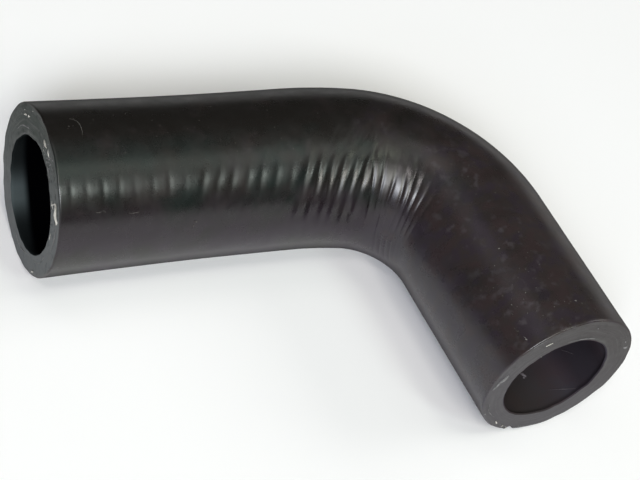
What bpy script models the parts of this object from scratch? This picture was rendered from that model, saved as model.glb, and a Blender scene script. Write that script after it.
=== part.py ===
# Oil return hose: one moulded rubber elbow, open right through and cut square at both ends.
# The long limb runs along X, the bend turns clockwise seen from above, and the short limb
# points close to -Y. The hose lies flat, with its lowest point on Z = 0.
# Lengths are in metres and angles in degrees.

import math

import bmesh
import bpy
from mathutils import Vector

# Tube
BORE_DIAMETER = 0.0190
WALL = 0.0040
BORE_SHIFT_OUT = -0.00027    # the bore sits off centre, towards the inside of the bend
BORE_SHIFT_UP = -0.00038     # and a little low

# Route of the middle line, from the long limb's mouth to the short limb's mouth
LONG_LIMB = 0.0438
EASE_RADIUS = 0.0670         # gentle start of the bend
EASE_ANGLE = 9.1
BEND_RADIUS = 0.0204
BEND_ANGLE = 76.9
SHORT_LIMB = 0.0292

# Small departures from an even tube
MOUTH_SWELL = 0.00035        # the cover is this much fuller at the long limb's mouth
SWELL_LENGTH = 0.0270
WAIST_DEPTH = 0.00013        # and this much thinner along the waist
WAIST_PLACE = 0.0310
WAIST_SPAN = 0.0150
CUT_EDGE_ROUND = 0.00030     # worn edge round each cut face, outside and at the bore

# Forming ripples on the cover, on the upper side that faces into the bend
RIPPLE_SIDE = 138.0          # where they are highest: 0 faces out of the bend, 90 is up
RIPPLE_SPREAD = 34.0         # they fade out this far to each side
RIPPLE_PITCH_MOUTH = 0.00275
RIPPLE_PITCH_LIMB_END = 0.00205
RIPPLE_PITCH_BEND = 0.00360
LIMB_RIPPLE_HEIGHT = 0.00005
BEND_RIPPLE_HEIGHT = 0.00011
LIMB_RIPPLE_SLOPE = -0.50    # how far a crest runs along the hose for each length round it
BEND_RIPPLE_SLOPE = 0.30

# Fineness of the mesh
SIDES = 32
RINGS_PER_RIPPLE = 4
BORE_BEND_RINGS = 14
SHORT_LIMB_RINGS = 4
EDGE_STEPS = 2
SHARP_ANGLE = 40.0           # edges that turn more than this are shaded sharp

RUBBER_COLOUR = (0.022, 0.020, 0.021, 1.0)
RUBBER_ROUGHNESS = 0.42

BORE_RADIUS = BORE_DIAMETER / 2
COVER_RADIUS = BORE_RADIUS + WALL
EASE_LENGTH = EASE_RADIUS * math.radians(EASE_ANGLE)
BEND_LENGTH = BEND_RADIUS * math.radians(BEND_ANGLE)
EASE_END = LONG_LIMB + EASE_LENGTH
BEND_MIDDLE = EASE_END + BEND_LENGTH / 2
BEND_END = EASE_END + BEND_LENGTH
HOSE_LENGTH = BEND_END + SHORT_LIMB
UP = Vector((0, 0, 1))


def clear_scene():
    for thing in list(bpy.data.objects):
        bpy.data.objects.remove(thing, do_unlink=True)


def route_pieces():
    # each piece of the middle line: its length and how fast the heading turns along it
    return (
        (LONG_LIMB, 0.0),
        (EASE_LENGTH, 1 / EASE_RADIUS),
        (BEND_LENGTH, 1 / BEND_RADIUS),
        (SHORT_LIMB, 0.0),
    )


def middle_line(distance):
    # point on the middle line and the heading there; the mouth of the long limb is the start
    point = Vector((0, 0, 0))
    turned = 0.0
    left = distance
    for number, (length, turn_rate) in enumerate(route_pieces()):
        last = number == len(route_pieces()) - 1
        run = left if last else min(left, length)
        if turn_rate:
            after = turned + run * turn_rate
            point.x += (math.sin(after) - math.sin(turned)) / turn_rate
            point.y += (math.cos(after) - math.cos(turned)) / turn_rate
            turned = after
        else:
            point += Vector((math.cos(turned), -math.sin(turned), 0)) * run
        left -= run
        if left <= 0 and run < length:
            break
    return point, Vector((math.cos(turned), -math.sin(turned), 0))


def ease(low, high, value):
    # smooth step from 0 at low to 1 at high
    share = min(max((value - low) / (high - low), 0.0), 1.0)
    return share * share * (3 - 2 * share)


def ripple_pitch(distance):
    if distance > EASE_END:
        return RIPPLE_PITCH_BEND
    share = distance / EASE_END
    return RIPPLE_PITCH_MOUTH + (RIPPLE_PITCH_LIMB_END - RIPPLE_PITCH_MOUTH) * share


def ripple_height(distance):
    # low on the limb, higher in the bend, gone where the short limb begins and at the mouth
    height = LIMB_RIPPLE_HEIGHT * ease(0.0, 2 * RIPPLE_PITCH_MOUTH, distance)
    height += (BEND_RIPPLE_HEIGHT - LIMB_RIPPLE_HEIGHT) * ease(LONG_LIMB, EASE_END, distance)
    return height * (1 - ease(BEND_END - 2 * RIPPLE_PITCH_BEND, BEND_END, distance))


def ripple_slope(distance):
    # crests lean one way along the limb and the other way in the bend, and not at all at the mouths
    slope = LIMB_RIPPLE_SLOPE * ease(0.0, LONG_LIMB / 2, distance)
    slope += (BEND_RIPPLE_SLOPE - LIMB_RIPPLE_SLOPE) * ease(WAIST_PLACE, BEND_MIDDLE, distance)
    return slope * (1 - ease(BEND_MIDDLE, HOSE_LENGTH, distance))


def cover_radius(distance):
    swell = MOUTH_SWELL * max(0.0, 1 - distance / SWELL_LENGTH) ** 2
    waist = WAIST_DEPTH * math.exp(-((distance - WAIST_PLACE) / WAIST_SPAN) ** 2)
    return COVER_RADIUS + swell - waist


def ring(mesh, distance, radius, wave=0.0, slope=0.0, shift_out=0.0, shift_up=0.0):
    # one loop of points round the tube; a slope leans the loop, and wave lifts it at the ripples
    points = []
    middle = math.radians(RIPPLE_SIDE)
    for side in range(SIDES):
        angle = math.tau * side / SIDES
        place = distance + slope * radius * math.sin(angle - middle)
        centre, heading = middle_line(place)
        outward = UP.cross(heading)
        turn = math.degrees(abs(math.remainder(angle - middle, math.tau)))
        lift = wave * (1 - ease(0.0, RIPPLE_SPREAD, turn))
        across = (radius + lift) * math.cos(angle) + shift_out
        above = (radius + lift) * math.sin(angle) + shift_up
        points.append(mesh.verts.new(centre + outward * across + UP * above))
    return points


def edge_round():
    # (how far in from the cut face, how far in from the wall) along the worn edge
    steps = []
    for step in range(EDGE_STEPS + 1):
        angle = math.radians(90) * step / EDGE_STEPS
        steps.append((CUT_EDGE_ROUND * (1 - math.sin(angle)), CUT_EDGE_ROUND * (1 - math.cos(angle))))
    return steps[::-1]


def cover_rings(mesh):
    # from the long limb's cut face to the short limb's
    rings = []
    for along, inset in edge_round():
        rings.append(ring(mesh, along, cover_radius(along) - inset))
    distance = 2 * CUT_EDGE_ROUND
    count = 1
    while distance < BEND_END:
        wave = ripple_height(distance) * math.cos(math.tau * count / RINGS_PER_RIPPLE)
        rings.append(ring(mesh, distance, cover_radius(distance), wave, ripple_slope(distance)))
        distance += ripple_pitch(distance) / RINGS_PER_RIPPLE
        count += 1
    for step in range(SHORT_LIMB_RINGS):
        distance = BEND_END + SHORT_LIMB * (step + 0.5) / SHORT_LIMB_RINGS
        rings.append(ring(mesh, distance, cover_radius(distance), 0.0, ripple_slope(distance)))
    for along, inset in reversed(edge_round()):
        distance = HOSE_LENGTH - along
        rings.append(ring(mesh, distance, cover_radius(distance) - inset))
    return rings


def bore_rings(mesh):
    # back through the bore, from the short limb's cut face to the long limb's
    def bore_ring(distance, extra=0.0):
        return ring(mesh, distance, BORE_RADIUS + extra, 0.0, 0.0, BORE_SHIFT_OUT, BORE_SHIFT_UP)

    rings = []
    for along, inset in edge_round():
        rings.append(bore_ring(HOSE_LENGTH - along, inset))
    for step in range(BORE_BEND_RINGS, -1, -1):
        share = step / BORE_BEND_RINGS
        rings.append(bore_ring(EASE_END + BEND_LENGTH * share))
    rings.append(bore_ring(LONG_LIMB + EASE_LENGTH / 2))
    rings.append(bore_ring(LONG_LIMB))
    for along, inset in reversed(edge_round()):
        rings.append(bore_ring(along, inset))
    return rings


def rubber():
    material = bpy.data.materials.new("black_rubber")
    material.use_nodes = True
    shader = material.node_tree.nodes["Principled BSDF"]
    shader.inputs["Base Color"].default_value = RUBBER_COLOUR
    shader.inputs["Roughness"].default_value = RUBBER_ROUGHNESS
    shader.inputs["Metallic"].default_value = 0.0
    return material


def rest_on_floor(mesh):
    # the middle of the hose's box, seen from above, comes to the origin, and its lowest point to Z = 0
    for axis in range(3):
        low = min(vert.co[axis] for vert in mesh.verts)
        high = max(vert.co[axis] for vert in mesh.verts)
        move = low if axis == 2 else (low + high) / 2
        for vert in mesh.verts:
            vert.co[axis] -= move


def make_hose():
    mesh = bmesh.new()
    rings = cover_rings(mesh) + bore_rings(mesh)
    for here, after in zip(rings, rings[1:] + rings[:1]):
        for side in range(SIDES):
            beside = (side + 1) % SIDES
            mesh.faces.new((here[side], here[beside], after[beside], after[side]))
    rest_on_floor(mesh)
    bmesh.ops.recalc_face_normals(mesh, faces=mesh.faces)
    data = bpy.data.meshes.new("hose_body")
    mesh.to_mesh(data)
    mesh.free()
    data.shade_smooth()
    data.set_sharp_from_angle(angle=math.radians(SHARP_ANGLE))
    data.materials.append(rubber())
    hose = bpy.data.objects.new("hose_body", data)
    bpy.context.scene.collection.objects.link(hose)
    return hose


clear_scene()
make_hose()
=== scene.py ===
import math
import bmesh
import bpy
import numpy as np
from mathutils import Matrix, Vector, noise


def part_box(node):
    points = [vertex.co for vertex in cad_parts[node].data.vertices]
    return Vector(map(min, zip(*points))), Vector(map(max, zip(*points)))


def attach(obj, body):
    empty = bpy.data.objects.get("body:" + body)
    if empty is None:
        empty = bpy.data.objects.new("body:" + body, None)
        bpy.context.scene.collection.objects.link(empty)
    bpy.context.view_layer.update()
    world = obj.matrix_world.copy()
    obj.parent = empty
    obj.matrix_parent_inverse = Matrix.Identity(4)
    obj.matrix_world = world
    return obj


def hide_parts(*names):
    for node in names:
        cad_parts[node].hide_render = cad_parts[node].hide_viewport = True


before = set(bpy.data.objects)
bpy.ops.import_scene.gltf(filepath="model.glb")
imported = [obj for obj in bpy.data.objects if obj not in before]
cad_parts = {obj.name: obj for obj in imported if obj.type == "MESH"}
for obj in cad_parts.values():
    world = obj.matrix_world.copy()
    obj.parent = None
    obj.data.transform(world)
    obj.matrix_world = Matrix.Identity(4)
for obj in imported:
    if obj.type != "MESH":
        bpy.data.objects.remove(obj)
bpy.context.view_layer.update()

mm = 0.001   # every size below is in millimetres, every angle in degrees


# the hose's own sizes, the same ones that shape the solid in the frame
hoseSizes = {
    "bore": 19.0,
    "wall": 4.0,
    "boreShiftOut": -0.27,
    "boreShiftUp": -0.38,
    "longLimb": 43.8,
    "easeRadius": 67.0,
    "easeAngle": 9.1,
    "bendRadius": 20.4,
    "bendAngle": 76.9,
    "shortLimb": 29.2,
    "mouthSwell": 0.35,
    "swellLength": 27.0,
    "waistDepth": 0.13,
    "waistPlace": 31.0,
    "waistSpan": 15.0,
    "edgeRound": 0.30,
}

boreRadius = hoseSizes["bore"] / 2
coverSize = boreRadius + hoseSizes["wall"]
easeLength = hoseSizes["easeRadius"] * math.radians(hoseSizes["easeAngle"])
bendLength = hoseSizes["bendRadius"] * math.radians(hoseSizes["bendAngle"])
easeEnd = hoseSizes["longLimb"] + easeLength
bendEnd = easeEnd + bendLength
hoseLength = bendEnd + hoseSizes["shortLimb"]


def middleLine(along):
    # x, y and turned angle of the middle line, at distances from the long limb's mouth
    along = np.asarray(along, float)
    easeRadius, bendRadius = hoseSizes["easeRadius"], hoseSizes["bendRadius"]
    fullTurn = math.radians(hoseSizes["easeAngle"]) + math.radians(hoseSizes["bendAngle"])
    inEase = np.clip(along - hoseSizes["longLimb"], 0, easeLength) / easeRadius
    inBend = np.clip(along - easeEnd, 0, bendLength) / bendRadius
    turned = inEase + inBend
    straight = np.minimum(along, hoseSizes["longLimb"])
    last = np.maximum(along - bendEnd, 0)
    x = straight + easeRadius * np.sin(inEase)
    x = x + bendRadius * (np.sin(turned) - np.sin(inEase)) + last * math.cos(fullTurn)
    y = easeRadius * (np.cos(inEase) - 1)
    y = y + bendRadius * (np.cos(turned) - np.cos(inEase)) - last * math.sin(fullTurn)
    return x, y, turned


def coverRadius(along):
    swell = hoseSizes["mouthSwell"] * np.clip(1 - along / hoseSizes["swellLength"], 0, 1) ** 2
    waist = np.exp(-((along - hoseSizes["waistPlace"]) / hoseSizes["waistSpan"]) ** 2)
    return coverSize + swell - hoseSizes["waistDepth"] * waist


def hosePoint(along, angle, radius, shiftOut=0.0, shiftUp=0.0):
    # a point at an angle round the hose: 0 faces out of the bend, 90 is up
    x, y, turned = middleLine(along)
    out = radius * np.cos(angle) + shiftOut
    up = radius * np.sin(angle) + shiftUp
    return np.stack([x + out * np.sin(turned), y + out * np.cos(turned), up], -1)


# where the frame holds the hose: the long limb's mouth touches the low x side of the box,
# and the limb touches the high y side and the top
nodeLow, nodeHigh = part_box("hose_body")
mouthPlace = np.array([nodeLow[0], nodeHigh[1], nodeHigh[2]]) / mm
mouthSize = coverSize + hoseSizes["mouthSwell"]
mouthPlace -= np.array([0.0, mouthSize, mouthSize])


# forming ripples: shallow grooves across the side that faces up and into the bend
# each row is one run of grooves: place of the first along the hose, gap, how many, depth, width,
# lean, side, and how far they reach below and above that side
grooveRuns = {
    "nearMouth": (1.9, 2.66, 8, 0.032, 0.50, 0.00, 138, 15, 13),
    "midLimb": (23.4, 2.55, 7, 0.055, 0.58, -0.06, 140, 17, 18),
    "limbEnd": (41.2, 2.38, 6, 0.240, 0.68, -0.05, 148, 25, 22),
    "bendStart": (55.5, 3.45, 3, 0.160, 0.66, 0.02, 147, 20, 20),
    "bendEnd": (65.9, 2.68, 3, 0.125, 0.60, 0.09, 148, 22, 24),
    "bendLast": (73.7, 0.0, 1, 0.120, 0.60, 0.09, 148, 18, 20),
    "fineCrease": (49.6, 0.0, 1, 0.050, 0.34, 0.05, 176, 22, 20),
    "lowCreases": (59.6, 2.85, 4, 0.130, 0.55, 0.09, 178, 19, 22),
    "highRipples": (43.6, 2.30, 5, 0.080, 0.62, -0.11, 117, 15, 13),
    "bendFade": (76.6, 0.0, 1, 0.085, 0.62, 0.09, 145, 15, 17),
}

# the limb's last grooves are bowed, most at this place, and curve away from this side
grooveCurl = {"amount": 0.0012, "place": 48.0, "span": 8.0, "side": 150.0}

grooveShape = {
    "seed": 5,
    "depthChance": 0.25,     # no two grooves are quite alike
    "placeChance": 0.15,
    "sideChance": 4.0,
    "reachChance": 0.20,
    "leanSide": 140.0,       # a leaning groove crosses its own place on this side
    "farthest": 8.0,         # nothing is left of a groove this far along the hose
    "stray": 0.25,           # its path wanders this far, and its depth varies by this share
    "unevenness": 0.3,
}


def listGrooves():
    # every groove as its own set of values, each a little different
    chance = np.random.default_rng(grooveShape["seed"])
    grooves = []
    for first, gap, count, depth, width, lean, side, below, above in grooveRuns.values():
        for k in range(count):
            vary = chance.uniform(-1, 1, 4)
            grooves.append({
                "place": first + gap * k + grooveShape["placeChance"] * vary[0],
                "depth": depth * (1 + grooveShape["depthChance"] * vary[1]),
                "width": width,
                "lean": lean,
                "side": side + grooveShape["sideChance"] * vary[2],
                "below": below * (1 + grooveShape["reachChance"] * vary[3]),
                "above": above * (1 - grooveShape["reachChance"] * vary[3]),
            })
    return grooves


grooves = listGrooves()


def grooveDepth(along, degrees, wander):
    # how far the cover dips at points along the hose and round it
    dip = np.zeros_like(degrees)
    fromCurl = degrees - grooveCurl["side"]
    fromLean = degrees - grooveShape["leanSide"]
    for groove in grooves:
        if abs(along - groove["place"]) > grooveShape["farthest"]:
            continue
        curl = (groove["place"] - grooveCurl["place"]) / grooveCurl["span"]
        bow = grooveCurl["amount"] * math.exp(-curl ** 2)
        path = groove["place"] + groove["lean"] * fromLean + bow * fromCurl ** 2
        path = path + grooveShape["stray"] * wander
        turn = degrees - groove["side"]
        reach = np.where(turn > 0, groove["above"], groove["below"])
        fade = np.exp(-(turn / reach) ** 2)
        dip = dip + groove["depth"] * fade * np.exp(-((along - path) / groove["width"]) ** 2)
    return dip * (1 + grooveShape["unevenness"] * wander)


# soft noise that makes the shapes uneven, as (scale, seed)
softNoise = {
    "grooveWander": (0.30, 1),
    "coverLumps": (0.45, 2),
    "boreLumps": (0.35, 3),
    "faceRough": (0.9, 11),
    "faceFine": (2.6, 12),
    "faceTorn": (2.2, 14),
    "longRim": (1.0, 31),
    "longRimFine": (3.4, 32),
    "shortRim": (1.0, 37),
    "shortRimFine": (3.4, 38),
}
noiseStep = (7.31, 3.17, 5.73)   # each seed moves the noise on by this much


def noiseAt(points, kind):
    # soft random values from -1 to 1 at points given in millimetres
    scale, seed = softNoise[kind]
    offset = Vector([seed * step for step in noiseStep])
    return np.array([noise.noise(Vector(p) * scale + offset) for p in points])


# the mesh is a row of rings: out along the cover, across the short limb's cut face, back through
# the bore and across the long limb's cut face
hoseMesh = {
    "pointsRound": 160,
    "groovedStep": 0.21,     # distance between rings where the cover has grooves
    "grooveEnd": 79.0,
    "plainStep": 0.45,       # and where it has none
    "boreStep": 1.6,
    "boreEnds": (0.5, 0.8, 1.1, 1.5, 2.0),   # closer rings near the bore's mouths
    "faceRings": 14,
    "edgeSteps": 3,
    "coverLumps": 0.010,     # slow unevenness of the moulded cover
    "boreLumps": 0.030,
    "sharpAngle": 50.0,      # edges that turn more than this are shaded sharp
}

# what the knife left at the two mouths
knifeMarks = {
    "rimWave": 0.16,         # the cut edge wanders this far along the hose
    "rimFine": 0.6,          # share of its finer waves
    "rimCircle": 2.0,        # a wider circle gives more waves round the rim
    "rimReach": 1.5,         # the hose is even again this far from the mouth
    "tearing": 0.045,        # roughness of the cut faces
    "tearingFine": 0.7,
    "tornSide": 106.0,       # the long limb's face is torn here
    "tornSpread": 13.0,
    "tornDepth": 0.16,
    "nickSide": 252.3,       # small nick in the short limb's rim
    "nickWidth": 3.0,
    "nickDepth": 0.65,
    "nickReach": 0.8,
    "lipDepth": 0.42,        # torn lip that narrows the bore at the short limb's mouth
    "lipReach": 0.5,
    "longLipSide": 48.0,     # the long limb's mouth has one on this side only
    "longLipSpread": 34.0,
    "longLipDepth": 0.60,
}

pointAngles = np.arange(hoseMesh["pointsRound"]) * math.tau / hoseMesh["pointsRound"]
pointDegrees = np.degrees(pointAngles)
endTurn = float(middleLine(hoseLength)[2])
longHeading = np.array([-1.0, 0.0, 0.0])
shortHeading = np.array([math.cos(endTurn), -math.sin(endTurn), 0.0])


def makeRing(points, radius, along, kind):
    # a ring keeps its straightened-out place too, which the materials are laid on
    across, up = radius * np.cos(pointAngles), radius * np.sin(pointAngles)
    straight = np.stack([across, up, np.full(len(pointAngles), along)], -1)
    return {"points": points, "straight": straight, "kind": kind}


def rimWander(along):
    # how far points near a mouth wander along the hose
    near = max(0.0, 1 - min(along, hoseLength - along) / knifeMarks["rimReach"])
    rim = "longRim" if along < hoseLength / 2 else "shortRim"
    size = knifeMarks["rimCircle"]
    circle = np.stack([size * np.cos(pointAngles), size * np.sin(pointAngles), 0 * pointAngles], -1)
    wave = noiseAt(circle, rim) + knifeMarks["rimFine"] * noiseAt(circle, rim + "Fine")
    return knifeMarks["rimWave"] * near * wave


def nickDepth(along):
    fromMouth = (hoseLength - along) / knifeMarks["nickReach"]
    turn = (pointDegrees - knifeMarks["nickSide"]) / knifeMarks["nickWidth"]
    return knifeMarks["nickDepth"] * np.exp(-turn ** 4) * math.exp(-fromMouth ** 2)


def lipDepth(along):
    turn = np.abs((pointDegrees - knifeMarks["longLipSide"] + 180) % 360 - 180)
    turn = turn / knifeMarks["longLipSpread"]
    nearLong = math.exp(-(along / knifeMarks["lipReach"]) ** 2)
    nearShort = math.exp(-((hoseLength - along) / knifeMarks["lipReach"]) ** 2)
    longLip = knifeMarks["longLipDepth"] * np.exp(-turn ** 4) * nearLong
    return longLip + knifeMarks["lipDepth"] * nearShort


def coverRing(along, inset=0.0):
    base = hosePoint(along, pointAngles, coverRadius(along))
    wander = noiseAt(base, "grooveWander")
    lift = hoseMesh["coverLumps"] * noiseAt(base, "coverLumps") - nickDepth(along)
    lift = lift - grooveDepth(along, pointDegrees, wander)
    points = hosePoint(along + rimWander(along), pointAngles, coverRadius(along) - inset + lift)
    return makeRing(points, coverSize, along, "cover")


def boreRing(along, inset=0.0):
    shift = (hoseSizes["boreShiftOut"], hoseSizes["boreShiftUp"])
    base = hosePoint(along, pointAngles, boreRadius, *shift)
    lumps = hoseMesh["boreLumps"] * noiseAt(base, "boreLumps")
    radius = boreRadius + inset + lumps - lipDepth(along)
    points = hosePoint(along + rimWander(along), pointAngles, radius, *shift)
    return makeRing(points, boreRadius, along, "bore")


def faceRings(outer, inner, heading, along):
    # rings across a cut face, from the cover's edge to the bore's
    rings = []
    torn = np.exp(-((pointDegrees - knifeMarks["tornSide"]) / knifeMarks["tornSpread"]) ** 2)
    for share in np.linspace(0, 1, hoseMesh["faceRings"] + 2)[1:-1]:
        points = outer["points"] * (1 - share) + inner["points"] * share
        fine = knifeMarks["tearingFine"] * noiseAt(points, "faceFine")
        depth = knifeMarks["tearing"] * np.abs(noiseAt(points, "faceRough") + fine)
        if along == 0:
            depth = depth + knifeMarks["tornDepth"] * torn * np.abs(noiseAt(points, "faceTorn"))
        depth = depth * math.sin(math.pi * share) ** 0.5
        radius = coverSize * (1 - share) + boreRadius * share
        rings.append(makeRing(points - np.outer(depth, heading), radius, along, "face"))
    return rings


def between(low, high, step):
    # even places between two ends, without the ends
    return np.linspace(low, high, max(2, int(round((high - low) / step)) + 1))[1:-1]


def hoseRings():
    # the worn edge, as (how far in from the cut face, how far in from the wall)
    worn = hoseSizes["edgeRound"]
    turns = np.radians(np.linspace(90, 0, hoseMesh["edgeSteps"] + 1))
    edge = [(worn * (1 - math.sin(turn)), worn * (1 - math.cos(turn))) for turn in turns]
    grooveEnd, plainStep = hoseMesh["grooveEnd"], hoseMesh["plainStep"]
    grooved = between(worn, grooveEnd, hoseMesh["groovedStep"])
    plain = between(grooveEnd - plainStep / 2, hoseLength - worn, plainStep)
    boreEnds = hoseMesh["boreEnds"]
    inside = between(boreEnds[-1], hoseLength - boreEnds[-1], hoseMesh["boreStep"])
    out = [coverRing(along, inset) for along, inset in edge]
    out += [coverRing(along) for along in grooved]
    out += [coverRing(along) for along in plain]
    out += [coverRing(hoseLength - along, inset) for along, inset in edge[::-1]]
    back = [boreRing(hoseLength - along, inset) for along, inset in edge]
    back += [boreRing(hoseLength - along) for along in boreEnds]
    back += [boreRing(along) for along in inside[::-1]]
    back += [boreRing(along) for along in boreEnds[::-1]]
    back += [boreRing(along, inset) for along, inset in edge[::-1]]
    shortFace = faceRings(out[-1], back[0], shortHeading, hoseLength)
    longFace = faceRings(out[0], back[-1], longHeading, 0.0)[::-1]
    return out + shortFace + back + longFace


def keepStraight(mesh, straight):
    places = mesh.attributes.new("straightPlace", "FLOAT_VECTOR", "POINT")
    places.data.foreach_set("vector", np.asarray(straight, float).ravel())


def placeObject(name, data):
    thing = bpy.data.objects.new(name, data)
    bpy.context.scene.collection.objects.link(thing)
    return thing


def makeHose():
    rings = hoseRings()
    total, count = len(rings), len(pointAngles)
    points = np.concatenate([ring["points"] for ring in rings])
    slotOf = {"cover": 0, "face": 1, "bore": 2}
    faces, slots = [], []
    for k, ring in enumerate(rings):
        after = rings[(k + 1) % total]
        kind = ring["kind"] if ring["kind"] == after["kind"] else "face"
        here, there = k * count, (k + 1) % total * count
        for side in range(count):
            beside = (side + 1) % count
            faces.append((here + side, here + beside, there + beside, there + side))
            slots.append(slotOf[kind])
    mesh = bpy.data.meshes.new("hoseBody")
    mesh.from_pydata(((points + mouthPlace) * mm).tolist(), [], faces)
    mesh.polygons.foreach_set("material_index", slots)
    keepStraight(mesh, np.concatenate([ring["straight"] for ring in rings]))
    mesh.update()
    mesh.shade_smooth()
    mesh.set_sharp_from_angle(angle=math.radians(hoseMesh["sharpAngle"]))
    return placeObject("hoseBody", mesh)


# node helpers

def newMaterial(name):
    material = bpy.data.materials.new(name)
    material.use_nodes = True
    tree = material.node_tree
    return material, tree, tree.nodes["Principled BSDF"]


def link(tree, fromSocket, toSocket):
    tree.links.new(fromSocket, toSocket)


def noiseNode(tree, place, scale, detail, roughness):
    node = tree.nodes.new("ShaderNodeTexNoise")
    node.inputs["Scale"].default_value = scale
    node.inputs["Detail"].default_value = detail
    node.inputs["Roughness"].default_value = roughness
    link(tree, place, node.inputs["Vector"])
    return node.outputs["Fac"]


def rangeNode(tree, value, fromLow, fromHigh, toLow=0.0, toHigh=1.0, soft=False):
    node = tree.nodes.new("ShaderNodeMapRange")
    node.interpolation_type = "SMOOTHSTEP" if soft else "LINEAR"
    limits = {"From Min": fromLow, "From Max": fromHigh, "To Min": toLow, "To Max": toHigh}
    for name, number in limits.items():
        node.inputs[name].default_value = number
    link(tree, value, node.inputs["Value"])
    return node.outputs["Result"]


def noiseRange(tree, place, noiseKind, limits):
    return rangeNode(tree, noiseNode(tree, place, *noiseKind), *limits)


def mixColour(tree, share, one, two):
    node = tree.nodes.new("ShaderNodeMix")
    node.data_type = "RGBA"
    for socket, value in ((node.inputs[6], one), (node.inputs[7], two)):
        if isinstance(value, tuple):
            socket.default_value = (*value, 1.0)
        else:
            link(tree, value, socket)
    link(tree, share, node.inputs[0])
    return node.outputs[2]


def addBump(tree, shader, layers):
    # layers of (height value, strength, distance in millimetres), the last one on top
    normal = None
    for height, strength, distance in layers:
        bump = tree.nodes.new("ShaderNodeBump")
        bump.inputs["Strength"].default_value = strength
        bump.inputs["Distance"].default_value = distance * mm
        link(tree, height, bump.inputs["Height"])
        if normal is not None:
            link(tree, normal, bump.inputs["Normal"])
        normal = bump.outputs["Normal"]
    link(tree, normal, shader.inputs["Normal"])


def objectPlace(tree):
    return tree.nodes.new("ShaderNodeTexCoord").outputs["Object"]


def straightPlace(tree):
    # the straightened-out place in millimetres, and its parts: X across, Y up, Z along the hose
    node = tree.nodes.new("ShaderNodeAttribute")
    node.attribute_name = "straightPlace"
    parts = tree.nodes.new("ShaderNodeSeparateXYZ")
    link(tree, node.outputs["Vector"], parts.inputs[0])
    return node.outputs["Vector"], parts.outputs


def stretched(tree, place, amounts):
    node = tree.nodes.new("ShaderNodeVectorMath")
    node.operation = "MULTIPLY"
    node.inputs[1].default_value = amounts
    link(tree, place, node.inputs[0])
    return node.outputs["Vector"]


def towards(tree, place, degrees):
    # 1 on the side of the cover at this angle, -1 on the opposite side, and about 0.7 at the bore
    node = tree.nodes.new("ShaderNodeVectorMath")
    node.operation = "DOT_PRODUCT"
    turn = math.radians(degrees)
    node.inputs[1].default_value = (math.cos(turn) / coverSize, math.sin(turn) / coverSize, 0.0)
    link(tree, place, node.inputs[0])
    return node.outputs["Value"]


def sideRange(tree, place, degrees, *limits):
    return rangeNode(tree, towards(tree, place, degrees), *limits)


def combine(tree, operation, one, two):
    node = tree.nodes.new("ShaderNodeMath")
    node.operation = operation
    for socket, value in zip(node.inputs, (one, two)):
        if isinstance(value, (int, float)):
            socket.default_value = value
        else:
            link(tree, value, socket)
    return node.outputs[0]


# in the finishes a noise is (scale, detail, roughness), a range is (low, high, and what they turn
# into where that isn't 0 and 1), a side is (angle round the hose, then its range), and a bump is
# (strength, depth in millimetres)
coverFinish = {
    "limbBlack": (0.0092, 0.0080, 0.0068),
    # limbPurpleReflection and bendLilacReflection are painted reflection tints of the floor on the
    # low side
    "limbPurpleReflection": (0.0150, 0.0085, 0.0160),
    # limbTealReflection is a painted reflection tint, not the rubber's own colour
    "limbTealReflection": (0.0065, 0.0105, 0.0092),
    "bendBrown": (0.0270, 0.0208, 0.0200),
    "bendLilacReflection": (0.0225, 0.0190, 0.0265),
    "smudgeRed": (0.0330, 0.0190, 0.0200),
    "smudgeViolet": (0.0240, 0.0165, 0.0290),
    "smudgePale": (0.0600, 0.0520, 0.0560),
    "dust": (0.060, 0.055, 0.050),
    "brownRange": (50.0, 84.0),            # black turns brown between these places along the hose
    "mottle": (170.0, 4.0, 0.6),           # in patches of a few millimetres
    "mottleRange": (0.35, 0.65, -0.3, 0.3),
    "lowReflectionSide": (225.0, 0.1, 0.8),          # purple and lilac are painted on this side, the tint of the floor's reflection
    "paintedTealSide": (135.0, 0.80, 0.95),       # and teal is painted on this one, the tint of a greenish reflection
    "tint": (95.0, 3.0, 0.6),              # in patches of about a centimetre
    "tintRange": (0.42, 0.60),
    "smudge": (300.0, 3.0, 0.55),          # handling smudges of two or three millimetres
    "violetRange": (0.50, 0.60, 0.0, 0.42),
    "redRange": (0.50, 0.40, 0.0, 0.42),
    "lint": (560.0, 2.0, 0.5),             # paler spots, most of them on this side
    "lintRange": (0.58, 0.72, 0.0, 0.62),
    "lintSide": (118.0, 0.80, 0.96, 0.1, 1.0),
    "dustCells": 700.0,                    # sparse specks, where the drift is thick enough
    "dustRange": (0.14, 0.06),
    "drift": (90.0, 3.0, 0.6),
    "driftRange": (0.52, 0.70),
    "satinSide": (150.0, -0.15, 0.30, 0.66, 0.29),   # roughness falls from dusty to satin
    "wear": (320.0, 4.0, 0.6),
    "wearRange": (0.3, 0.7, -0.06, 0.06),
    "facingBlend": 0.5,
    "rimRange": (0.60, 1.00, 0.20, 1.00),  # least roughness where the surface turns away
    "peel": (700.0, 2.0, 0.5),
    "peelBump": (0.20, 0.02),
    "drag": (1.6, 3.0, 0.6),               # drawn out along the hose
    "dragStretch": (1.0, 1.0, 0.12),
    "dragBump": (0.16, 0.02),
    "grain": (2600.0, 2.0, 0.6),
    "grainBump": (0.30, 0.006),
}


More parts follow.
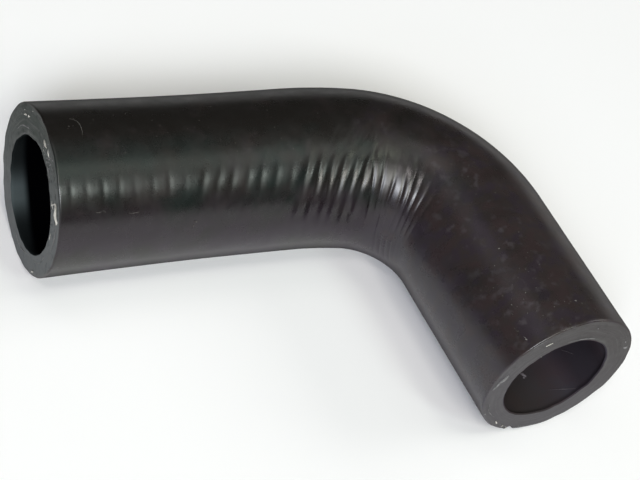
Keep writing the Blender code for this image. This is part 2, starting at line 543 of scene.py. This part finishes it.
def coverRubber():
    material, tree, shader = newMaterial("coverRubber")
    finish, place = coverFinish, objectPlace(tree)
    straight, parts = straightPlace(tree)
    # black on the long limb and brown on the short one
    mottled = rangeNode(tree, parts["Z"], *finish["brownRange"])
    patches = noiseRange(tree, place, finish["mottle"], finish["mottleRange"])
    mottled = rangeNode(tree, combine(tree, "ADD", mottled, patches), 0.0, 1.0)
    low = sideRange(tree, straight, *finish["lowReflectionSide"])
    tinted = noiseRange(tree, place, finish["tint"], finish["tintRange"])
    # painted reflection: teal on the side that mirrors a greenish light, in patches
    paintedTeal = combine(tree, "MULTIPLY", tinted, sideRange(tree, straight, *finish["paintedTealSide"]))
    black = mixColour(tree, paintedTeal, finish["limbBlack"], finish["limbTealReflection"])
    # painted reflection: purple and lilac on the side facing the floor, in patches
    paintedPurple = mixColour(tree, tinted, finish["limbPurpleReflection"], finish["limbBlack"])
    black = mixColour(tree, low, black, paintedPurple)
    brown = mixColour(tree, low, finish["bendBrown"], finish["bendLilacReflection"])
    # handling smudges, most of them faint and a few pale
    smudges = noiseNode(tree, place, *finish["smudge"])
    violet = rangeNode(tree, smudges, *finish["violetRange"])
    red = rangeNode(tree, smudges, *finish["redRange"])
    brown = mixColour(tree, violet, brown, finish["smudgeViolet"])
    brown = mixColour(tree, red, brown, finish["smudgeRed"])
    lint = noiseRange(tree, place, finish["lint"], finish["lintRange"])
    lint = combine(tree, "MULTIPLY", lint, sideRange(tree, straight, *finish["lintSide"]))
    brown = mixColour(tree, lint, brown, finish["smudgePale"])
    colour = mixColour(tree, mottled, black, brown)
    # specks of dust
    cells = tree.nodes.new("ShaderNodeTexVoronoi")
    cells.inputs["Scale"].default_value = finish["dustCells"]
    link(tree, place, cells.inputs["Vector"])
    speck = rangeNode(tree, cells.outputs["Distance"], *finish["dustRange"])
    drift = noiseRange(tree, place, finish["drift"], finish["driftRange"])
    colour = mixColour(tree, combine(tree, "MULTIPLY", speck, drift), colour, finish["dust"])
    link(tree, colour, shader.inputs["Base Color"])
    # satin where it faces into the bend, and dull where it turns away
    satin = sideRange(tree, straight, *finish["satinSide"])
    wear = noiseRange(tree, place, finish["wear"], finish["wearRange"])
    rough = combine(tree, "ADD", satin, wear)
    facing = tree.nodes.new("ShaderNodeLayerWeight")
    facing.inputs["Blend"].default_value = finish["facingBlend"]
    rim = rangeNode(tree, facing.outputs["Facing"], *finish["rimRange"])
    link(tree, combine(tree, "MAXIMUM", rough, rim), shader.inputs["Roughness"])
    peel = noiseNode(tree, place, *finish["peel"])
    drag = noiseNode(tree, stretched(tree, straight, finish["dragStretch"]), *finish["drag"])
    grain = noiseNode(tree, place, *finish["grain"])
    addBump(tree, shader, [
        (peel, *finish["peelBump"]),
        (drag, *finish["dragBump"]),
        (grain, *finish["grainBump"]),
    ])
    return material


faceFinish = {
    "longTop": (0.038, 0.045, 0.040),
    "longBottom": (0.112, 0.120, 0.122),
    "shortTop": (0.058, 0.053, 0.053),
    "shortBottom": (0.070, 0.065, 0.070),
    "streak": (0.125, 0.127, 0.123),
    "pit": (0.020, 0.022, 0.021),
    "bottomSide": (60.0, -0.2, 0.75, 1.0, 0.0),   # 0 on this side, 1 well away from it
    "ends": (40.0, 70.0),                  # places along the hose that tell the two faces apart
    "streakAcross": 2.4,                   # the knife's torn streaks follow the wall round
    "streakRound": 0.16,
    "streaks": (1.0, 4.0, 0.7),
    "streakRange": (0.46, 0.68, 0.0, 1.2),
    "streakEnds": (1.0, 0.5),              # how strong they are on the long limb and on the short
    "streakBump": (0.5, 0.08),
    "patches": (420.0, 5.0, 0.7),
    "patchBump": (0.5, 0.05),
    "pits": (950.0, 3.0, 0.6),
    "pitRange": (0.52, 0.68),
    "pitSide": (100.0, -0.3, 0.5, 0.25, 0.9),
    "pitEnds": (1.0, 0.3),
    "torn": (1500.0, 3.0, 0.65),
    "tornBump": (0.5, 0.02),
    "roughness": 0.80,
    "specular": 0.30,
}


def cutRubber():
    material, tree, shader = newMaterial("cutRubber")
    finish, place = faceFinish, objectPlace(tree)
    straight, parts = straightPlace(tree)
    low = sideRange(tree, straight, *finish["bottomSide"])
    longEnd = mixColour(tree, low, finish["longTop"], finish["longBottom"])
    shortEnd = mixColour(tree, low, finish["shortTop"], finish["shortBottom"])
    colour = mixColour(tree, rangeNode(tree, parts["Z"], *finish["ends"]), longEnd, shortEnd)
    # streaks are noise laid out by the distance from the hose's middle
    radius = tree.nodes.new("ShaderNodeVectorMath")
    radius.operation = "LENGTH"
    link(tree, stretched(tree, straight, (1.0, 1.0, 0.0)), radius.inputs[0])
    ringed = tree.nodes.new("ShaderNodeCombineXYZ")
    acrossWall, roundWall = finish["streakAcross"], finish["streakRound"]
    values = (radius.outputs["Value"], parts["X"], parts["Y"])
    for socket, value, scale in zip(ringed.inputs, values, (acrossWall, roundWall, roundWall)):
        link(tree, combine(tree, "MULTIPLY", value, scale), socket)
    streaks = noiseNode(tree, ringed.outputs[0], *finish["streaks"])
    patches = noiseNode(tree, place, *finish["patches"])
    share = combine(tree, "MULTIPLY", rangeNode(tree, streaks, *finish["streakRange"]), patches)
    ends = rangeNode(tree, parts["Z"], *finish["ends"], *finish["streakEnds"])
    share = combine(tree, "MULTIPLY", share, ends)
    colour = mixColour(tree, share, colour, finish["streak"])
    share = noiseRange(tree, place, finish["pits"], finish["pitRange"])
    share = combine(tree, "MULTIPLY", share, sideRange(tree, straight, *finish["pitSide"]))
    ends = rangeNode(tree, parts["Z"], *finish["ends"], *finish["pitEnds"])
    share = combine(tree, "MULTIPLY", share, ends)
    colour = mixColour(tree, share, colour, finish["pit"])
    link(tree, colour, shader.inputs["Base Color"])
    shader.inputs["Roughness"].default_value = finish["roughness"]
    shader.inputs["Specular IOR Level"].default_value = finish["specular"]
    torn = noiseNode(tree, place, *finish["torn"])
    addBump(tree, shader, [
        (patches, *finish["patchBump"]),
        (streaks, *finish["streakBump"]),
        (torn, *finish["tornBump"]),
    ])
    return material


boreFinish = {
    # deep is painted shade: the bore is painted near black away from its mouths
    "deepPaintedShade": (0.0006, 0.0006, 0.0009),
    "shortRed": (0.047, 0.035, 0.042),
    "shortBlue": (0.043, 0.040, 0.050),
    # shortShade and shortDusk are painted shade on two sides of the short limb's bore
    "shortShade": (0.030, 0.025, 0.022),
    "shortDusk": (0.0245, 0.0205, 0.0255),
    "patches": (150.0, 4.0, 0.6),
    "patchRange": (0.42, 0.58),
    "shadeSide": (262.0, 0.35, 0.70, 0.0, 0.75),
    "duskSide": (345.0, 0.59, 0.68, 0.0, 0.8),   # the short limb's bore is painted darkest on this side, as shade
    "shortRange": (82.0, 98.0),            # its lighter colours begin between these places along the hose, where light reaches in; further in the bore is painted near black as shade
    # the long limb's mouth colour is painted light, ending at the rim's painted shadow
    "longMouthPaintedLight": (0.058, 0.072, 0.074),
    "longMouthDepth": 0.95,                # painted light reaches this deep in the long limb's mouth
    "longMouthSoft": 1.3,                  # and its edge is this soft
    "longMouthSide": 313.0,                # it is palest on this side and reaches furthest in there
    "longMouthTongue": 3.0,
    "longMouthRange": (0.35, 0.70),
    "longMouthFade": 10.0,
    "longMouthRest": 0.13,                 # and this share of it is left away from there
    "grain": (1800.0, 2.0, 0.6),
    "grainBump": (0.4, 0.01),
    "roughness": 0.75,
    "specular": 0.0,
}


def boreRubber():
    material, tree, shader = newMaterial("boreRubber")
    finish, place = boreFinish, objectPlace(tree)
    straight, parts = straightPlace(tree)
    patches = noiseRange(tree, place, finish["patches"], finish["patchRange"])
    shortEnd = mixColour(tree, patches, finish["shortRed"], finish["shortBlue"])
    # painted shade on two sides of the short limb's bore
    shade = sideRange(tree, straight, *finish["shadeSide"])
    shortEnd = mixColour(tree, shade, shortEnd, finish["shortShade"])
    dusk = sideRange(tree, straight, *finish["duskSide"])
    shortEnd = mixColour(tree, dusk, shortEnd, finish["shortDusk"])
    # painted shade: near black deep in the bore, lighter near the short limb's mouth where light
    # reaches in
    share = rangeNode(tree, parts["Z"], *finish["shortRange"])
    colour = mixColour(tree, share, finish["deepPaintedShade"], shortEnd)
    # painted light at the long limb's mouth, where light falls in past the rim, with a tongue that
    # reaches in; its soft edge is the rim's painted shadow
    worn = towards(tree, straight, finish["longMouthSide"])
    tongue = combine(tree, "MULTIPLY", worn, finish["longMouthTongue"])
    depth = combine(tree, "SUBTRACT", parts["Z"], tongue)
    worn = rangeNode(tree, worn, *finish["longMouthRange"])
    worn = combine(tree, "POWER", worn, finish["longMouthFade"])
    worn = rangeNode(tree, worn, 0.0, 1.0, finish["longMouthRest"], 1.0)
    edge = finish["longMouthDepth"]
    share = rangeNode(tree, depth, edge - finish["longMouthSoft"], edge, 1.0, 0.0, soft=True)
    share = combine(tree, "MULTIPLY", share, worn)
    colour = mixColour(tree, share, colour, finish["longMouthPaintedLight"])
    link(tree, colour, shader.inputs["Base Color"])
    shader.inputs["Roughness"].default_value = finish["roughness"]
    shader.inputs["Specular IOR Level"].default_value = finish["specular"]
    addBump(tree, shader, [(noiseNode(tree, place, *finish["grain"]), *finish["grainBump"])])
    return material


hose = makeHose()
hoseMaterials = [coverRubber(), cutRubber(), boreRubber()]
for material in hoseMaterials:
    hose.data.materials.append(material)
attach(hose, "root")
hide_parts("hose_body")
print("hose body made:", len(hose.data.polygons), "faces")


# small things on the hose: threads, tufts and crumbs

def facePlace(mouth, radius, side, lift=0.0):
    along = -lift if mouth == "long" else hoseLength + lift
    return hosePoint(along, math.radians(side), radius)


def coverPlace(along, side, lift=0.0):
    return hosePoint(along, math.radians(side), coverRadius(along) + lift)


threadShape = {
    "sides": 6,
    "steps": 5,              # points from one given place to the next
    "tips": 0.2,             # share of its thickness that a thread keeps at its ends
    "sideways": (0.31, 0.52, 0.80),
}


def smoothPath(places):
    # a rounded line through a few places
    places = np.array(places, float)
    line = np.vstack([2 * places[0] - places[1], places, 2 * places[-1] - places[-2]])
    path = []
    for before, here, there, after in zip(line, line[1:], line[2:], line[3:]):
        for t in np.linspace(0, 1, threadShape["steps"], endpoint=False):
            bend = (2 * before - 5 * here + 4 * there - after) * t ** 2
            twist = (3 * here - before - 3 * there + after) * t ** 3
            path.append((2 * here + (there - before) * t + bend + twist) / 2)
    path.append(places[-1])
    return np.array(path)


def addThread(shape, places, thickness):
    # a closed thread that thins out at both ends
    path = smoothPath(places)
    sides, tips = threadShape["sides"], threadShape["tips"]
    first = len(shape["points"])
    for k, (place, ahead) in enumerate(zip(path, np.gradient(path, axis=0))):
        across = np.cross(ahead, threadShape["sideways"])
        across /= np.linalg.norm(across)
        above = np.cross(ahead / np.linalg.norm(ahead), across)
        fullness = math.sin(math.pi * k / (len(path) - 1)) ** 0.5
        width = thickness / 2 * (tips + (1 - tips) * fullness)
        for turn in np.arange(sides) * math.tau / sides:
            outward = math.cos(turn) * across + math.sin(turn) * above
            shape["points"].append(place + width * outward)
    last = first + (len(path) - 1) * sides
    for start in range(first, last, sides):
        for side in range(sides):
            here, beside = start + side, start + (side + 1) % sides
            shape["faces"].append((here, beside, beside + sides, here + sides))
    shape["faces"].append(tuple(first + side for side in range(sides))[::-1])
    shape["faces"].append(tuple(last + side for side in range(sides)))


crumbShape = {
    "fineness": 2,
    "roughness": 0.45,
    "lumps": 3.0,            # higher for smaller lumps
    "turns": (2.4, 1.3),     # each crumb is turned on by this much round Z and X
    "change": 1.7,           # and its lumps move on by this much
}


def addCrumb(shape, place, widths, number):
    # a small rough lump
    ball = bmesh.new()
    bmesh.ops.create_icosphere(ball, subdivisions=crumbShape["fineness"], radius=0.5)
    turnZ, turnX = crumbShape["turns"]
    turn = Matrix.Rotation(number * turnZ, 3, "Z") @ Matrix.Rotation(number * turnX, 3, "X")
    shift = Vector((number * crumbShape["change"], 0, 0))
    first = len(shape["points"])
    for vert in ball.verts:
        rough = 1 + crumbShape["roughness"] * noise.noise(vert.co * crumbShape["lumps"] + shift)
        spread = Vector([part * width for part, width in zip(vert.co, widths)])
        shape["points"].append(np.array(place) + np.array(turn @ spread * rough))
    shape["faces"] += [tuple(first + vert.index for vert in face.verts) for face in ball.faces]
    ball.free()


# how yarn frays: sizes are shares of a strand's thickness or of a tuft's width
yarnShape = {
    "stray": 0.42,           # filaments run side by side and part this much
    "filament": (0.34, 0.52),
    "tuftFilaments": 9,
    "tuftFilament": 0.26,
    "tuftRoot": 0.12,
    "tuftLean": 0.45,
    "tuftLength": (0.2, 0.5),
    "tuftBend": 0.08,
    "tuftLift": 0.02,        # in millimetres
    "seed": 41,
}


def addBundle(shape, places, thickness, filaments, chance):
    for k in range(filaments):
        stray = chance.uniform(-1, 1, (len(places), 3)) * thickness * yarnShape["stray"]
        filament = thickness * chance.uniform(*yarnShape["filament"])
        addThread(shape, np.array(places) + stray, filament)


def addTuft(shape, place, heading, width, chance):
    # a cut yarn end: short filaments that stick out of the face
    for k in range(yarnShape["tuftFilaments"]):
        lean = chance.uniform(-1, 1, 3) * width * yarnShape["tuftLean"]
        root = place + chance.uniform(-1, 1, 3) * width * yarnShape["tuftRoot"]
        tip = root + heading * width * chance.uniform(*yarnShape["tuftLength"]) + lean
        middle = (root + tip) / 2 + chance.uniform(-1, 1, 3) * width * yarnShape["tuftBend"]
        addThread(shape, [root, middle, tip], width * yarnShape["tuftFilament"])


def makePiece(name, shape, material):
    mesh = bpy.data.meshes.new(name)
    points = (np.array(shape["points"]) + mouthPlace) * mm
    mesh.from_pydata(points.tolist(), [], shape["faces"])
    mesh.update()
    mesh.shade_smooth()
    mesh.materials.append(material)
    piece = placeObject(name, mesh)
    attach(piece, "root")


# finishes of the small things: light and dark colour, roughness, scale of the patches
smallFinishes = {
    "whiteYarn": ((0.62, 0.60, 0.55), (0.36, 0.35, 0.31), 0.9, 900.0),
    "tornRubber": ((0.200, 0.196, 0.198), (0.080, 0.082, 0.080), 0.85, 900.0),
    # shadedRubber is the torn rubber painted darker: painted shade for crumbs inside the short
    # limb's bore
    "shadedRubber": ((0.086, 0.077, 0.084), (0.045, 0.036, 0.042), 0.85, 900.0),
    "paleDust": ((0.165, 0.156, 0.142), (0.036, 0.032, 0.030), 0.95, 700.0),
}
smallSurface = {
    "patches": (3.0, 0.6),   # detail and roughness of the noise
    "patchRange": (0.38, 0.62),
    "grain": (2.0, 0.6),
    "grainScale": 4,         # times finer than the patches
    "grainBump": (0.4, 0.02),
}


def smallMaterial(name):
    material, tree, shader = newMaterial(name)
    place = objectPlace(tree)
    light, dark, roughness, scale = smallFinishes[name]
    patches = noiseRange(tree, place, (scale, *smallSurface["patches"]), smallSurface["patchRange"])
    link(tree, mixColour(tree, patches, dark, light), shader.inputs["Base Color"])
    shader.inputs["Roughness"].default_value = roughness
    grain = noiseNode(tree, place, smallSurface["grainScale"] * scale, *smallSurface["grain"])
    addBump(tree, shader, [(grain, *smallSurface["grainBump"])])
    return material


# reinforcing yarn at the cut ends; tufts are (mouth, radius, side, width)
# and strands are (mouth, thickness, filaments, then each place as radius, side and lift)
yarnTufts = [
    ("long", 11.8, 50.0, 0.62),
    ("long", 11.75, 58.3, 0.52),
    ("long", 12.6, 47.0, 0.16),
    ("long", 13.0, 65.0, 0.22),
    ("long", 13.0, 231.5, 0.40),
    ("short", 12.4, 229.5, 0.42),
    ("short", 12.7, 241.5, 0.34),
    ("short", 12.9, 246.8, 0.26),
]
yarnStrands = [
    ("long", 0.40, 7, (12.1, 142.6, 0.08), (12.65, 146.0, 0.24), (12.45, 151.3, 0.20),
     (12.85, 157.0, 0.04)),
    ("long", 0.22, 3, (10.1, 146.2, 0.03), (11.0, 145.0, 0.16), (12.1, 143.6, 0.12)),
    ("long", 0.16, 2, (10.7, 142.0, 0.04), (11.0, 145.0, 0.18), (11.3, 148.5, 0.06)),
    ("long", 0.34, 5, (11.9, 93.4, 0.02), (11.76, 96.9, 0.12), (11.7, 100.3, 0.02)),
    ("long", 0.13, 2, (10.4, 96.0, 0.02), (10.3, 97.6, 0.08), (10.5, 99.4, 0.02)),
    ("long", 0.15, 3, (12.2, 102.0, 0.02), (11.9, 105.0, 0.10), (11.7, 109.0, 0.02)),
    ("long", 0.12, 2, (10.7, 171.0, 0.02), (10.75, 174.0, 0.08), (10.7, 178.0, 0.02)),
    ("short", 0.19, 4, (11.75, 125.2, 0.02), (11.6, 121.8, 0.12), (11.45, 118.5, 0.02)),
]


def makeYarn():
    chance = np.random.default_rng(yarnShape["seed"])
    shape = {"points": [], "faces": []}
    for mouth, radius, side, width in yarnTufts:
        heading = longHeading if mouth == "long" else shortHeading
        place = facePlace(mouth, radius, side, yarnShape["tuftLift"])
        addTuft(shape, place, heading, width, chance)
    for mouth, thickness, filaments, *places in yarnStrands:
        route = [facePlace(mouth, *place) for place in places]
        addBundle(shape, route, thickness, filaments, chance)
    makePiece("yarnEnds", shape, smallMaterial("whiteYarn"))


# crumbs and lips of torn rubber: (mouth, radius, side, lift, three widths)
tornCrumbs = [
    ("short", 13.1, 210.0, -0.10, (0.40, 0.30, 0.30)),
    ("short", 9.4, 133.0, 0.00, (0.35, 0.20, 0.16)),
    ("short", 11.7, 77.4, 0.02, (0.30, 0.18, 0.14)),
    ("short", 12.3, 28.7, 0.00, (0.50, 0.34, 0.20)),
    ("short", 12.3, 20.2, 0.00, (0.80, 0.55, 0.24)),
    ("long", 13.3, 133.0, -0.10, (0.36, 0.24, 0.20)),
    ("long", 10.2, 151.0, 0.00, (0.30, 0.44, 0.20)),
    ("long", 13.0, 233.0, 0.00, (0.30, 0.50, 0.20)),
]
tornLips = [
    ("long", 0.20, (10.7, 16.0, -0.04), (10.3, 36.0, 0.02), (9.9, 50.0, 0.02), (9.9, 66.0, -0.04)),
    ("long", 0.12, (9.1, 30.0, 0.00), (8.95, 42.0, 0.05), (9.0, 56.0, 0.00)),
    ("long", 0.15, (11.2, 200.0, 0.00), (11.5, 214.0, 0.05), (11.3, 230.0, 0.00)),
    ("long", 0.14, (12.6, 160.0, 0.00), (12.4, 172.0, 0.05), (12.0, 186.0, 0.00)),
    ("long", 0.12, (10.1, 128.0, 0.00), (10.2, 118.0, 0.06), (10.1, 108.0, 0.00)),
    ("long", 0.14, (11.0, 246.0, 0.00), (11.6, 262.0, 0.05), (11.4, 280.0, 0.00)),
    ("short", 0.14, (13.1, 137.0, 0.00), (13.25, 130.0, 0.03), (13.15, 122.0, 0.00)),
    ("short", 0.13, (9.5, 106.0, 0.00), (9.45, 92.0, 0.05), (9.35, 74.0, 0.05), (9.2, 60.0, 0.00)),
    ("short", 0.12, (12.2, 196.0, 0.00), (12.4, 208.0, 0.05), (12.0, 222.0, 0.00)),
    ("short", 0.36, (12.75, 179.5, -0.05), (12.45, 175.0, 0.03), (12.1, 170.5, -0.05)),
    ("short", 0.48, (12.35, 172.5, -0.08), (11.85, 168.0, 0.03), (11.45, 163.0, -0.08)),
    ("short", 0.16, (13.2, 243.0, -0.05), (13.25, 246.0, 0.00), (13.2, 248.6, -0.05)),
    ("short", 0.16, (13.2, 257.0, -0.05), (13.1, 262.0, 0.00), (13.15, 268.0, -0.05)),
]
tornPatches = [   # mouth, radius from and to, side from and to, how many, widest
    ("long", 9.9, 12.9, 94.0, 122.0, 80, 0.32),
    ("long", 11.2, 13.0, 20.0, 70.0, 40, 0.24),
    ("long", 10.2, 12.9, 122.0, 175.0, 36, 0.24),
    ("short", 12.6, 13.1, 238.0, 247.0, 10, 0.24),
    ("short", 12.6, 13.1, 258.0, 266.0, 8, 0.22),
    ("short", 11.6, 12.8, 18.0, 42.0, 14, 0.22),
]
tornShape = {"seed": 43, "sizes": (0.35, 1.0), "flatness": (1.0, 0.6, 0.6)}


def makeCrumbs():
    chance = np.random.default_rng(tornShape["seed"])
    shape = {"points": [], "faces": []}
    for k, (mouth, radius, side, lift, widths) in enumerate(tornCrumbs):
        addCrumb(shape, facePlace(mouth, radius, side, lift), widths, k)
    for mouth, thickness, *places in tornLips:
        addThread(shape, [facePlace(mouth, *place) for place in places], thickness)
    for mouth, low, high, sideFrom, sideTo, count, widest in tornPatches:
        for k in range(count):
            place = facePlace(mouth, chance.uniform(low, high), chance.uniform(sideFrom, sideTo))
            sizes = widest * chance.uniform(*tornShape["sizes"], 3)
            addCrumb(shape, place, sizes * np.array(tornShape["flatness"]), k)
    makePiece("rubberCrumbs", shape, smallMaterial("tornRubber"))


# crumbs and scrapes in the shade of the short limb's bore: crumbs are (radius, side, lift, three
# widths), scrapes are (thickness, then each place as depth below the mouth, side and lift)
shadedCrumbs = [
    (8.75, 160.0, -0.12, (0.62, 0.30, 0.26)),
    (8.2, 162.0, -0.12, (0.60, 0.30, 0.30)),
    (7.6, 163.5, -0.14, (0.62, 0.34, 0.26)),
    (7.55, 166.5, -0.16, (0.50, 0.44, 0.30)),
]
boreScrapes = [
    (0.10, (0.6, 323.0, 0.00), (1.8, 312.0, 0.05), (3.2, 297.0, 0.00)),
    (0.12, (5.8, 338.5, 0.00), (6.9, 334.4, 0.07), (7.9, 329.8, 0.00)),
]


def borePlace(depth, side, lift):
    shift = (hoseSizes["boreShiftOut"], hoseSizes["boreShiftUp"])
    return hosePoint(hoseLength - depth, math.radians(side), boreRadius - lift, *shift)


def makeShadedCrumbs():
    shape = {"points": [], "faces": []}
    for k, (radius, side, lift, widths) in enumerate(shadedCrumbs):
        addCrumb(shape, facePlace("short", radius, side, lift), widths, k)
    for thickness, *places in boreScrapes:
        addThread(shape, [borePlace(*place) for place in places], thickness)
    makePiece("boreCrumbs", shape, smallMaterial("shadedRubber"))


# dust on the cover: specks are (along, side, width)
# and hairs are (thickness, then each place as along, side and lift)
dustSpecks = [
    (22.6, 163.0, 0.52),
    (109.2, 134.0, 0.36),
    (104.2, 133.0, 0.42),
    (103.8, 122.0, 0.36),
    (93.0, 117.0, 0.40),
    (106.5, 90.0, 0.36),
    (102.8, 130.0, 0.30),
]
dustHairs = [
    (0.055, (4.3, 82.5, 0.01), (5.15, 85.0, 0.04), (5.5, 89.0, 0.04), (5.5, 94.0, 0.03),
     (5.3, 98.0, 0.01)),
    (0.10, (22.5, 164.0, 0.02), (22.3, 166.0, 0.04), (22.1, 167.5, 0.02)),
    (0.075, (5.7, 149.2, 0.01), (6.2, 149.6, 0.03), (6.7, 149.2, 0.01)),
    (0.075, (6.9, 148.6, 0.01), (7.2, 149.0, 0.03), (7.4, 150.2, 0.01)),
    (0.07, (11.1, 151.8, 0.01), (11.9, 152.2, 0.03), (12.9, 151.9, 0.01)),
    (0.11, (108.5, 134.6, 0.01), (108.9, 134.0, 0.03), (109.4, 133.8, 0.02)),
]
dustPatches = [   # along from and to, side from and to, how many, widest
    (91.0, 108.0, 96.0, 138.0, 34, 0.18),
    (56.0, 90.0, 70.0, 135.0, 26, 0.11),
    (2.0, 50.0, 70.0, 125.0, 26, 0.13),
    (2.0, 100.0, 150.0, 200.0, 24, 0.11),
]
dustShape = {"seed": 47, "sizes": (0.3, 1.0), "flatness": (1.0, 0.6, 0.5), "lift": 0.02}


def makeDust():
    chance = np.random.default_rng(dustShape["seed"])
    shape = {"points": [], "faces": []}
    for k, (along, side, width) in enumerate(dustSpecks):
        widths = width * np.array(dustShape["flatness"])
        addCrumb(shape, coverPlace(along, side, dustShape["lift"]), widths, k)
    for thickness, *places in dustHairs:
        addThread(shape, [coverPlace(*place) for place in places], thickness)
    for low, high, sideFrom, sideTo, count, widest in dustPatches:
        for k in range(count):
            place = coverPlace(chance.uniform(low, high), chance.uniform(sideFrom, sideTo))
            addCrumb(shape, place, widest * chance.uniform(*dustShape["sizes"], 3), k)
    makePiece("coverDust", shape, smallMaterial("paleDust"))


makeYarn()
makeCrumbs()
makeShadedCrumbs()
makeDust()
print("yarn ends, crumbs and dust made")


# studio: floor, lamps and the dim room round them

floorSetup = {"size": 6000.0, "colour": (0.98, 0.98, 0.98), "roughness": 0.9, "specular": 0.0}


def makeFloor():
    half = floorSetup["size"] / 2 * mm
    mesh = bpy.data.meshes.new("studioFloor")
    corners = [(-half, -half, 0), (half, -half, 0), (half, half, 0), (-half, half, 0)]
    mesh.from_pydata(corners, [], [(0, 1, 2, 3)])
    material, tree, shader = newMaterial("paleFloor")
    shader.inputs["Base Color"].default_value = (*floorSetup["colour"], 1.0)
    shader.inputs["Roughness"].default_value = floorSetup["roughness"]
    shader.inputs["Specular IOR Level"].default_value = floorSetup["specular"]
    mesh.materials.append(material)
    floor = placeObject("studioFloor", mesh)


# each lamp: name, direction and height angle that it stands at, width and height as seen from
# the hose in degrees, glow, colour
lampSetup = [
    ("windowLamp", -147, 35, 19, 10, 28.5, (0.97, 1.00, 1.06)),
    ("windowSill", -140, 26, 9, 8, 10.0, (0.88, 0.97, 1.20)),
    ("doorLamp", -130, 55, 7, 10, 17.0, (1.05, 0.98, 0.97)),
    ("wallLamp", -170, 40, 9, 20, 13.5, (1.04, 1.02, 0.92)),
    ("sideLamp", 162, 43, 11, 13, 9.5, (0.95, 1.05, 0.98)),
    ("skyLamp", 161, 71, 9, 16, 4.4, (0.97, 1.05, 0.86)),
    ("ceilingLamp", 0, 86, 30, 20, 1.0, (1.05, 1.00, 0.98)),
    ("fillLamp", 92, 37, 34, 22, 2.9, (1.03, 1.00, 0.98)),
    ("farLamp", 130, 58, 16, 20, 1.2, (0.95, 1.07, 0.98)),
    ("backLamp", -50, 56, 24, 22, 0.5, (1.00, 0.97, 1.06)),
]
lampRoom = {"distance": 2400.0, "aim": (10.0, -5.0, 12.0)}


def makeLamp(name, direction, height, across, tall, glow, colour):
    turn, rise = math.radians(direction), math.radians(height)
    level = math.cos(rise)
    away = Vector((math.sin(turn) * level, math.cos(turn) * level, math.sin(rise)))
    light = bpy.data.lights.new(name, "AREA")
    light.shape = "RECTANGLE"
    light.size = 2 * lampRoom["distance"] * mm * math.tan(math.radians(across / 2))
    light.size_y = 2 * lampRoom["distance"] * mm * math.tan(math.radians(tall / 2))
    light.energy = math.pi * light.size * light.size_y * glow
    light.color = colour
    lamp = placeObject(name, light)
    lamp.location = Vector(lampRoom["aim"]) * mm + away * lampRoom["distance"] * mm
    lamp.rotation_euler = away.to_track_quat("Z", "Y").to_euler()


worldSetup = {"colour": (0.05, 0.05, 0.05), "strength": 1.0}


def makeWorld():
    world = bpy.data.worlds.new("dimRoom")
    world.use_nodes = True
    ground = world.node_tree.nodes["Background"]
    ground.inputs["Color"].default_value = (*worldSetup["colour"], 1.0)
    ground.inputs["Strength"].default_value = worldSetup["strength"]
    bpy.context.scene.world = world


cameraSetup = {
    "place": (-132.2, -166.2, 220.5),
    "aim": (0.9, 2.0, 13.8),
    "roll": 22.9,
    "lens": 103.5,
    "sensor": 36.0,
    "nearest": 1.0,
}


def makeCamera():
    place = Vector(cameraSetup["place"]) * mm
    ahead = (Vector(cameraSetup["aim"]) * mm - place).normalized()
    levelRight = ahead.cross(Vector((0, 0, 1))).normalized()
    levelUp = levelRight.cross(ahead)
    roll = math.radians(cameraSetup["roll"])
    right = levelRight * math.cos(roll) + levelUp * math.sin(roll)
    up = levelUp * math.cos(roll) - levelRight * math.sin(roll)
    turn = Matrix((right, up, -ahead)).transposed()
    data = bpy.data.cameras.new("photoCamera")
    data.lens = cameraSetup["lens"]
    data.sensor_width = cameraSetup["sensor"]
    data.clip_start = cameraSetup["nearest"] * mm
    camera = placeObject("photoCamera", data)
    camera.matrix_world = Matrix.Translation(place) @ turn.to_4x4()
    bpy.context.scene.camera = camera


makeFloor()
for row in lampSetup:
    makeLamp(*row)
makeWorld()
makeCamera()
bpy.context.scene.view_settings.view_transform = "Standard"
print("studio made:", len(lampSetup), "lamps")
